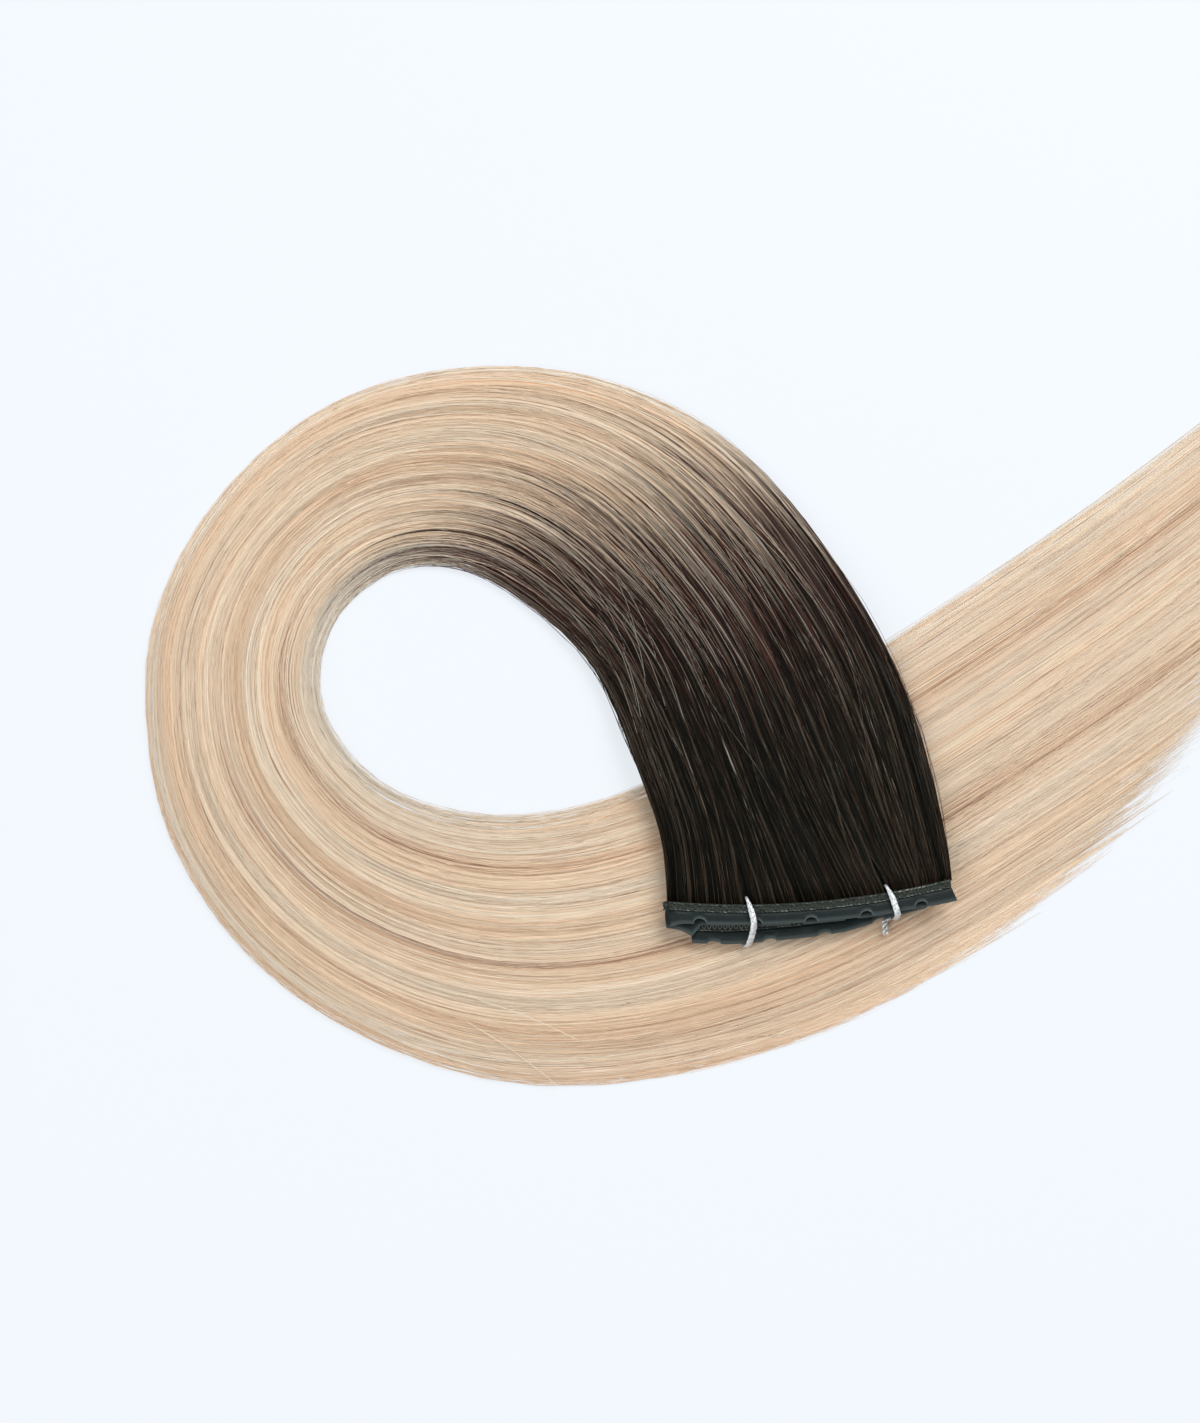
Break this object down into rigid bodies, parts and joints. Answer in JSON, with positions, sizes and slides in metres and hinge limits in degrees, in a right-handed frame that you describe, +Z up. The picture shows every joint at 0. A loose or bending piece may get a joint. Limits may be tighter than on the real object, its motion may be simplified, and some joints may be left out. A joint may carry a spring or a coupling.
{
  "type": "hair weft",
  "caption": "Straight hair weft with dark roots running to blonde tips, its perforated tape folded in three and tied, laid flat in one loop with its tips passing under the sewn edge",
  "frame": {"origin": "on the table, below the middle of the folded sewn edge, where the hair that passes under that edge lies flat", "axes": "+Z up from the table; +X along the folded edge towards the side where the tips run out; +Y roughly the way the hair leaves the edge"},
  "size_m": [0.3067, 0.198, 0.0117],
  "materials": {
    "hair": "silky straight hair, near-black brown at the roots running to mixed blonde at the tips",
    "track_cloth": "dark hair ends sewn over with two rows of grey thread",
    "tape_film": "dark slate coated tape with a satin shine",
    "tie_foil": "glittering silver foil over wire"
  },
  "bodies": {
    "root": {"hair": "hair", "track": "track_cloth", "tape": "tape_film", "tie_left": "tie_foil", "tie_right": "tie_foil"}
  },
  "joints": []
}
